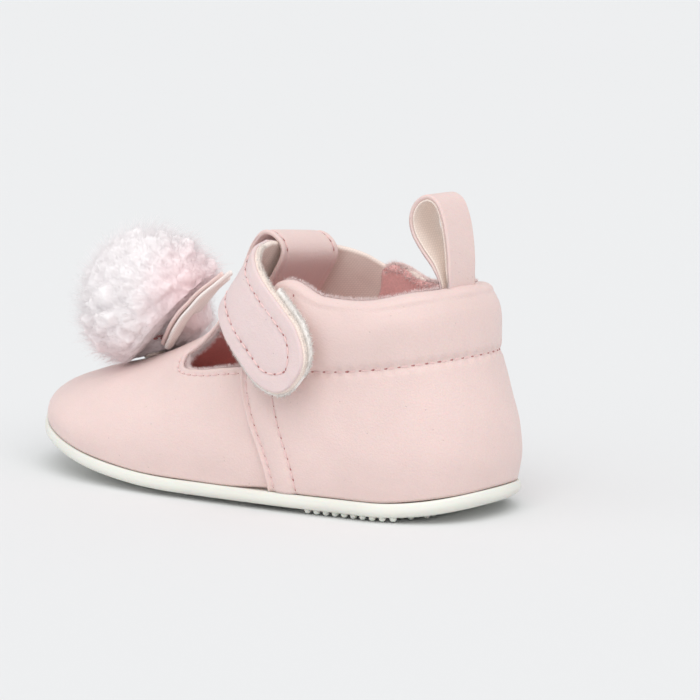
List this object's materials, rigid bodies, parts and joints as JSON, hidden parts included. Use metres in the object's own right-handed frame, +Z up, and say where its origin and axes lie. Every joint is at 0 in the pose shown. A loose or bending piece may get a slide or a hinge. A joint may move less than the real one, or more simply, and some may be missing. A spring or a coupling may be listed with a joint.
{
  "type": "baby bootie",
  "caption": "Soft-soled T-bar baby bootie with a hook-and-loop strap, padded collar, heel pull loop, two leaf ears and a pompom on the vamp.",
  "frame": {"origin": "on the ground, at the middle of the shoe's box in plan", "axes": "+X from heel to toe, +Y to the outer side where the strap tab closes, +Z up"},
  "size_m": [0.1224, 0.0553, 0.0659],
  "materials": {
    "sole_rubber": "matt off-white rubber",
    "board": "stiff fibre board",
    "lining": "brushed pink textile",
    "pink_leather": "matt fine-grained pale pink leather",
    "foam": "soft foam",
    "strap_leather": "matt fine-grained pale pink leather",
    "cream_backing": "cream textile backing",
    "tape": "white hook and loop tape",
    "fur": "long soft faux fur"
  },
  "bodies": {
    "shoe": {"outsole": "sole_rubber", "tread_heel": "sole_rubber", "tread_forefoot": "sole_rubber", "insole_board": "board", "footbed": "lining", "vamp_outer": "pink_leather", "vamp_lining": "lining", "toe_puff": "board", "quarter_outer": "pink_leather", "quarter_lining": "lining", "collar_foam": "foam", "heel_counter": "board", "strap_keeper": "pink_leather", "strap_outer": "strap_leather", "strap_backing": "cream_backing", "loop_tape": "tape", "pompom_anchor": "cream_backing"},
    "strap_tab": {"tab_outer": "strap_leather", "tab_backing": "cream_backing", "hook_tape": "tape"},
    "pull_loop": {"pull_loop_outer": "pink_leather", "pull_loop_backing": "cream_backing"},
    "pompom": {"pompom": "fur"},
    "ear_near": {"ear_near": "pink_leather"},
    "ear_far": {"ear_far": "pink_leather"}
  },
  "joints": [
    {"name": "tab_peel", "type": "hinge", "parent": "shoe", "child": "strap_tab", "pos_m": [-0.00427, 0.01299, 0.04909], "axis": [0.5385, -0.0016, -0.8426], "range_deg": [0, 100]},
    {"name": "loop_tilt", "type": "hinge", "parent": "shoe", "child": "pull_loop", "pos_m": [-0.0484, 0, 0.0477], "axis": [0, 1, 0], "range_deg": [-20, 25], "stiffness_Nm_per_rad": 0.002},
    {"name": "pompom_wobble", "type": "hinge", "parent": "shoe", "child": "pompom", "pos_m": [0.034, 0, 0.0245], "axis": [0.96, 0, -0.28], "range_deg": [-5, 5], "stiffness_Nm_per_rad": 0.01},
    {"name": "ear_near_lift", "type": "hinge", "parent": "shoe", "child": "ear_near", "pos_m": [0.027, 0.003, 0.0285], "axis": [0, 1, 0], "range_deg": [-6, 6], "stiffness_Nm_per_rad": 0.002},
    {"name": "ear_far_lift", "type": "hinge", "parent": "shoe", "child": "ear_far", "pos_m": [0.027, -0.003, 0.0285], "axis": [0, 1, 0], "range_deg": [-6, 6], "stiffness_Nm_per_rad": 0.002}
  ]
}
